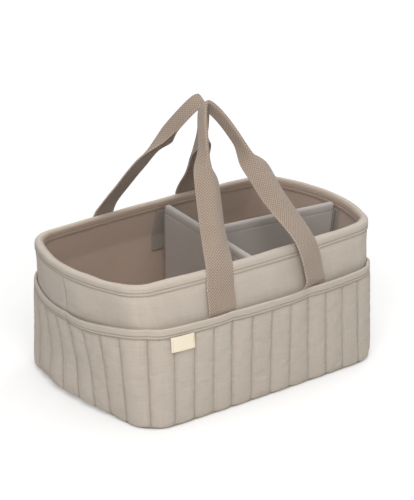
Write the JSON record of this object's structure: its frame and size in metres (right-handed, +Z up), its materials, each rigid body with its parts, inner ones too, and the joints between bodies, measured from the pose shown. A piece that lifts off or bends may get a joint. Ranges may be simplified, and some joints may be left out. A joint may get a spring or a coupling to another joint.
{
  "type": "nursery organizer",
  "caption": "Open fabric tub with quilted outside pockets, lift-out dividers and webbing handles that lean together.",
  "frame": {"origin": "centre of the tub's footprint on the surface that it stands on", "axes": "+X along the length, left to right as seen from the front; -Y towards the front, which has the label tab; +Z up"},
  "size_m": [0.4038, 0.2724, 0.3372],
  "materials": {
    "quilted_canvas": "quilted cotton canvas",
    "plain_canvas": "plain cotton canvas",
    "hem_canvas": "folded canvas hem with topstitching",
    "lining_cloth": "smooth woven lining",
    "webbing": "cotton webbing in a basket weave",
    "felted_foam": "felted foam sheet",
    "stiff_board": "plastic board",
    "hook_and_loop_tape": "hook and loop pile",
    "label_cloth": "plain woven tab"
  },
  "bodies": {
    "tub": {"base_cloth": "plain_canvas", "base_board": "stiff_board", "floor_lining": "lining_cloth", "outer_canvas_front": "plain_canvas", "foam_board_front": "felted_foam", "lining_front": "lining_cloth", "pocket_panel_front": "quilted_canvas", "pocket_hem_front": "hem_canvas", "divider_loop_tape_front": "hook_and_loop_tape", "handle_tail_front_left": "webbing", "handle_tail_front_right": "webbing", "outer_canvas_back": "plain_canvas", "foam_board_back": "felted_foam", "lining_back": "lining_cloth", "pocket_panel_back": "quilted_canvas", "pocket_hem_back": "hem_canvas", "divider_loop_tape_back": "hook_and_loop_tape", "handle_tail_back_left": "webbing", "handle_tail_back_right": "webbing", "foam_board_left": "felted_foam", "foam_board_right": "felted_foam", "rim_hem": "hem_canvas", "divider_loop_tape_right": "hook_and_loop_tape", "label_tab": "label_cloth"},
    "front_handle": {"handle_front": "webbing"},
    "back_handle": {"handle_back": "webbing"},
    "cross_divider": {"cross_divider_hook_tape_front": "hook_and_loop_tape", "cross_divider_hook_tape_back": "hook_and_loop_tape", "cross_divider_cover": "lining_cloth", "cross_divider_board": "stiff_board", "cross_divider_loop_tape": "hook_and_loop_tape"},
    "long_divider": {"long_divider_cover": "lining_cloth", "long_divider_board": "stiff_board", "long_divider_hook_tape_cross": "hook_and_loop_tape", "long_divider_hook_tape_end": "hook_and_loop_tape"}
  },
  "joints": [
    {"name": "front_handle_swing", "type": "hinge", "parent": "tub", "child": "front_handle", "pos_m": [0, -0.1275, 0.124], "axis": [1, 0, 0], "range_deg": [0, 145]},
    {"name": "back_handle_swing", "type": "hinge", "parent": "tub", "child": "back_handle", "pos_m": [0, 0.1275, 0.124], "axis": [-1, 0, 0], "range_deg": [0, 145]},
    {"name": "cross_divider_lift", "type": "slide", "parent": "tub", "child": "cross_divider", "axis": [0, 0, 1], "range_m": [0, 0.115]},
    {"name": "long_divider_lift", "type": "slide", "parent": "tub", "child": "long_divider", "axis": [0, 0, 1], "range_m": [0, 0.115]}
  ]
}
